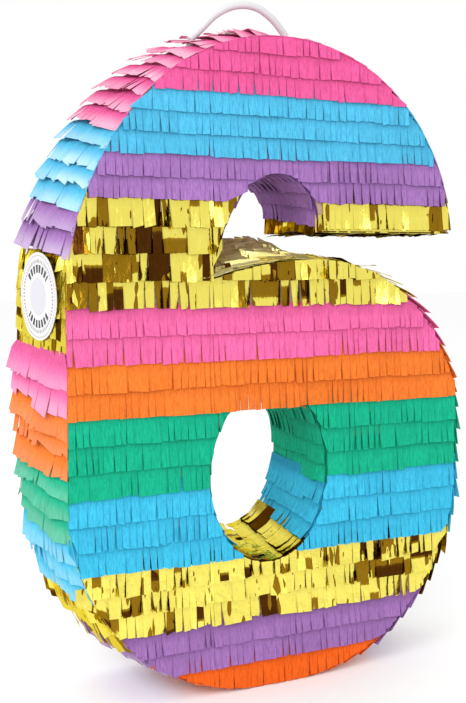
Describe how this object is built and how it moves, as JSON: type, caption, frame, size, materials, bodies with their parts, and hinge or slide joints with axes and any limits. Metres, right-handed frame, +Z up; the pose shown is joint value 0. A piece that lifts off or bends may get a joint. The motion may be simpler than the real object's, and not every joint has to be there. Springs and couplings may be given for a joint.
{
  "type": "numeral pinata",
  "caption": "Cardboard box in the shape of the figure 6, covered in rows of fringed tissue and gold foil, with a hanging cord loop and a filling door in its left wall.",
  "frame": {"origin": "on the floor, under the middle of the part's box, at the underside of the fringe that it stands on", "axes": "+Z up along the height of the figure, +X to the reader's right, +Y from the front face to the back"},
  "size_m": [0.2992, 0.076, 0.4474],
  "materials": {
    "cardboard": "matt, uncoated",
    "tissue_pink": "matt crepe tissue",
    "tissue_pink_deep": "matt crepe tissue",
    "tissue_blue": "matt crepe tissue",
    "tissue_blue_deep": "matt crepe tissue",
    "tissue_purple": "matt crepe tissue",
    "tissue_orange": "matt crepe tissue",
    "tissue_orange_deep": "matt crepe tissue",
    "tissue_green": "matt crepe tissue",
    "foil_gold": "metallised film, mirror gloss, crumpled",
    "label_paper": "white coated paper",
    "cord": "white braided cord"
  },
  "bodies": {
    "figure": {"back_fringe_01_pink": "tissue_pink", "back_fringe_02_blue": "tissue_blue", "back_fringe_03_purple": "tissue_purple", "back_fringe_04_gold": "foil_gold", "back_fringe_05_pink": "tissue_pink_deep", "back_fringe_06_orange": "tissue_orange", "back_fringe_07_green": "tissue_green", "back_fringe_08_blue": "tissue_blue_deep", "back_fringe_09_gold": "foil_gold", "back_fringe_10_purple": "tissue_purple", "back_fringe_11_orange": "tissue_orange_deep", "back_panel": "cardboard", "base_wall": "cardboard", "crown_left_wall": "cardboard", "crown_right_wall": "cardboard", "front_fringe_01_pink": "tissue_pink", "front_fringe_02_blue": "tissue_blue", "front_fringe_03_purple": "tissue_purple", "front_fringe_04_gold": "foil_gold", "front_fringe_05_pink": "tissue_pink_deep", "front_fringe_06_orange": "tissue_orange", "front_fringe_07_green": "tissue_green", "front_fringe_08_blue": "tissue_blue_deep", "front_fringe_09_gold": "foil_gold", "front_fringe_10_purple": "tissue_purple", "front_fringe_11_orange": "tissue_orange_deep", "front_panel": "cardboard", "hole_fringe_blue": "tissue_blue", "hole_fringe_gold": "foil_gold", "hole_fringe_green": "tissue_green", "hole_fringe_orange": "tissue_orange", "hole_wall": "cardboard", "ledge_fringe_gold": "foil_gold", "ledge_wall": "cardboard", "left_wall": "cardboard", "loop_knots": "cord", "loop_patch": "cardboard", "loop_tails": "cord", "notch_fringe_gold": "foil_gold", "notch_fringe_purple": "tissue_purple", "notch_wall": "cardboard", "right_wall": "cardboard", "side_fringe_01_pink": "tissue_pink", "side_fringe_02_blue": "tissue_blue", "side_fringe_03_purple": "tissue_purple", "side_fringe_04_gold": "foil_gold", "side_fringe_05_pink": "tissue_pink_deep", "side_fringe_06_orange": "tissue_orange", "side_fringe_07_green": "tissue_green", "side_fringe_08_blue": "tissue_blue_deep", "side_fringe_09_gold": "foil_gold", "side_fringe_10_purple": "tissue_purple", "side_fringe_11_orange": "tissue_orange_deep", "terminal_fringe_gold": "foil_gold", "terminal_wall": "cardboard"},
    "filling_door": {"fill_flap": "cardboard", "flap_fringe": "foil_gold", "fill_label": "label_paper"},
    "loop": {"hanging_loop": "cord"}
  },
  "joints": [
    {"name": "filling_door_fold", "type": "hinge", "parent": "figure", "child": "filling_door", "pos_m": [-0.13588, 0, 0.286], "axis": [0, 1, 0], "range_deg": [0, 75]},
    {"name": "loop_swing", "type": "hinge", "parent": "figure", "child": "loop", "pos_m": [-0.04386, 0, 0.4195], "axis": [0.9939, 0, 0.1106], "range_deg": [-70, 70]}
  ]
}
